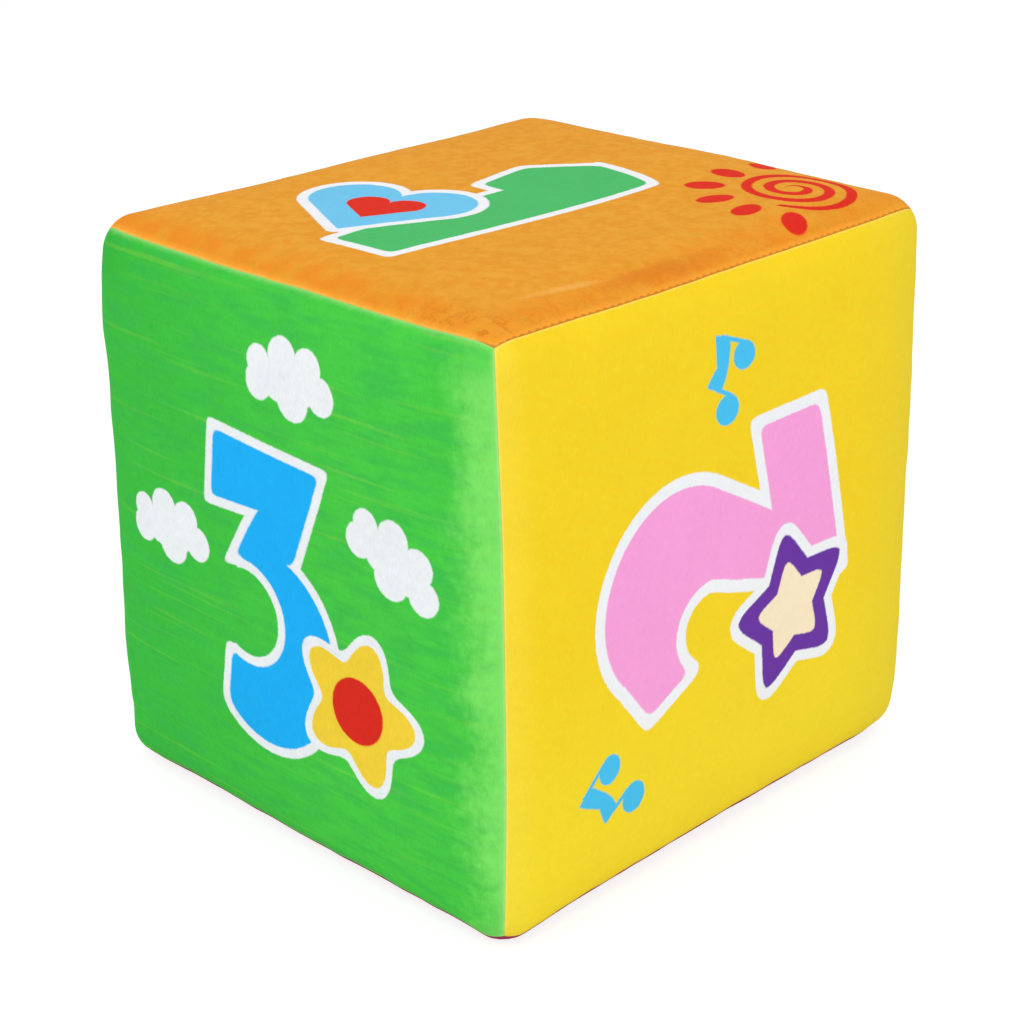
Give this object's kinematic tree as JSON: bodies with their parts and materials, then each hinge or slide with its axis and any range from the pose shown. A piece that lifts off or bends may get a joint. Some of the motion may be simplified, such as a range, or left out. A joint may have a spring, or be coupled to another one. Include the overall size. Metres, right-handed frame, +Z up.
{
  "type": "soft dice",
  "caption": "Soft play die: a foam block in a sewn plush cover with rounded, slightly crowned faces, a printed numeral on each; stands on a flat face.",
  "frame": {"origin": "middle of the flat face that the die rests on", "axes": "+Z up; the panel with the 3 faces -Y, the panel with the 2 faces +X and the panel with the 1 faces +Z"},
  "size_m": [0.15, 0.16, 0.1525],
  "materials": {
    "sponge": "open-cell polyurethane sponge, matte",
    "plush_green": "short brushed plush, printed",
    "plush_lilac": "short brushed plush, printed",
    "plush_yellow": "short brushed plush, printed",
    "plush_sky": "short brushed plush, printed",
    "plush_orange": "short brushed plush, printed",
    "plush_rose": "short brushed plush, printed",
    "thread": "spun polyester sewing thread"
  },
  "bodies": {
    "root": {"foam_core": "sponge", "front_panel": "plush_green", "back_panel": "plush_lilac", "right_panel": "plush_yellow", "left_panel": "plush_sky", "top_panel": "plush_orange", "bottom_panel": "plush_rose", "seam_top_front": "thread", "seam_bottom_front": "thread", "seam_top_back": "thread", "seam_bottom_back": "thread", "seam_top_right": "thread", "seam_bottom_right": "thread", "seam_top_left": "thread", "seam_bottom_left": "thread", "seam_front_right": "thread", "seam_front_left": "thread", "seam_back_right": "thread", "seam_back_left": "thread"}
  },
  "joints": []
}
